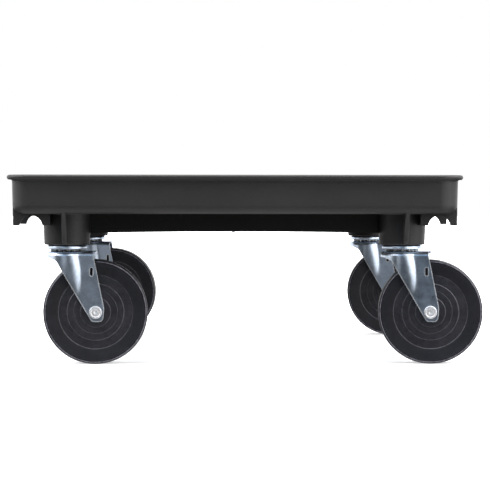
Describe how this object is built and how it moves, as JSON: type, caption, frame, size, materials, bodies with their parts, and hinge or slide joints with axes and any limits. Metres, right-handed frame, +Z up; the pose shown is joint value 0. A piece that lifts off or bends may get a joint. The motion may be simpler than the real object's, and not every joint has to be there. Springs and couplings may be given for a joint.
{
  "type": "furniture dolly",
  "caption": "Square moulded-plastic tray dolly with a raised rim, carried low to the floor on swivel stem casters with pressed forks and solid wheels.",
  "frame": {"origin": "centre of the tray floor's upper face, where the load stands", "axes": "+Z up; +X to the right seen from the front, the side the casters trail to, each turned by a few degrees; -Y towards the front"},
  "size_m": [0.577, 0.5468, 0.2297],
  "materials": {
    "tray_plastic": "moulded black plastic, satin",
    "wheel_plastic": "moulded black, satin, concentric rings",
    "zinc_plate": "bright zinc plate, bluish",
    "ball_steel": "dark steel, greased",
    "axle_steel": "bright zinc plate"
  },
  "bodies": {
    "deck": {"deck": "tray_plastic", "fl_kingpin": "zinc_plate", "fl_stem_washer": "zinc_plate", "fl_stem_nut": "zinc_plate", "fl_top_race": "zinc_plate", "fl_lower_race": "zinc_plate", "fr_kingpin": "zinc_plate", "fr_stem_washer": "zinc_plate", "fr_stem_nut": "zinc_plate", "fr_top_race": "zinc_plate", "fr_lower_race": "zinc_plate", "rl_kingpin": "zinc_plate", "rl_stem_washer": "zinc_plate", "rl_stem_nut": "zinc_plate", "rl_top_race": "zinc_plate", "rl_lower_race": "zinc_plate", "rr_kingpin": "zinc_plate", "rr_stem_washer": "zinc_plate", "rr_stem_nut": "zinc_plate", "rr_top_race": "zinc_plate", "rr_lower_race": "zinc_plate"},
    "fl_swivel": {"fl_fork": "zinc_plate", "fl_upper_balls": "ball_steel", "fl_lower_balls": "ball_steel", "fl_axle_sleeve": "axle_steel", "fl_axle_bolt": "axle_steel", "fl_axle_nut": "zinc_plate", "fl_washer_near": "zinc_plate", "fl_washer_far": "zinc_plate"},
    "fl_roller": {"fl_wheel": "wheel_plastic"},
    "fr_swivel": {"fr_fork": "zinc_plate", "fr_upper_balls": "ball_steel", "fr_lower_balls": "ball_steel", "fr_axle_sleeve": "axle_steel", "fr_axle_bolt": "axle_steel", "fr_axle_nut": "zinc_plate", "fr_washer_near": "zinc_plate", "fr_washer_far": "zinc_plate"},
    "fr_roller": {"fr_wheel": "wheel_plastic"},
    "rl_swivel": {"rl_fork": "zinc_plate", "rl_upper_balls": "ball_steel", "rl_lower_balls": "ball_steel", "rl_axle_sleeve": "axle_steel", "rl_axle_bolt": "axle_steel", "rl_axle_nut": "zinc_plate", "rl_washer_near": "zinc_plate", "rl_washer_far": "zinc_plate"},
    "rl_roller": {"rl_wheel": "wheel_plastic"},
    "rr_swivel": {"rr_fork": "zinc_plate", "rr_upper_balls": "ball_steel", "rr_lower_balls": "ball_steel", "rr_axle_sleeve": "axle_steel", "rr_axle_bolt": "axle_steel", "rr_axle_nut": "zinc_plate", "rr_washer_near": "zinc_plate", "rr_washer_far": "zinc_plate"},
    "rr_roller": {"rr_wheel": "wheel_plastic"}
  },
  "joints": [
    {"name": "fl_swivel_turn", "type": "hinge", "parent": "deck", "child": "fl_swivel", "pos_m": [-0.2048, -0.2048, -0.05], "axis": [0, 0, 1], "continuous": true},
    {"name": "fl_wheel_roll", "type": "hinge", "parent": "fl_swivel", "child": "fl_roller", "pos_m": [-0.17024, -0.20317, -0.1235], "axis": [-0.0471, 0.9989, 0], "continuous": true},
    {"name": "fr_swivel_turn", "type": "hinge", "parent": "deck", "child": "fr_swivel", "pos_m": [0.2048, -0.2048, -0.05], "axis": [0, 0, 1], "continuous": true},
    {"name": "fr_wheel_roll", "type": "hinge", "parent": "fr_swivel", "child": "fr_roller", "pos_m": [0.23918, -0.20866, -0.1235], "axis": [0.1115, 0.9938, 0], "continuous": true},
    {"name": "rl_swivel_turn", "type": "hinge", "parent": "deck", "child": "rl_swivel", "pos_m": [-0.2048, 0.2048, -0.05], "axis": [0, 0, 1], "continuous": true},
    {"name": "rl_wheel_roll", "type": "hinge", "parent": "rl_swivel", "child": "rl_roller", "pos_m": [-0.17023, 0.20335, -0.1235], "axis": [0.0419, 0.9991, 0], "continuous": true},
    {"name": "rr_swivel_turn", "type": "hinge", "parent": "deck", "child": "rr_swivel", "pos_m": [0.2048, 0.2048, -0.05], "axis": [0, 0, 1], "continuous": true},
    {"name": "rr_wheel_roll", "type": "hinge", "parent": "rr_swivel", "child": "rr_roller", "pos_m": [0.2393, 0.20215, -0.1235], "axis": [0.0767, 0.9971, 0], "continuous": true}
  ]
}
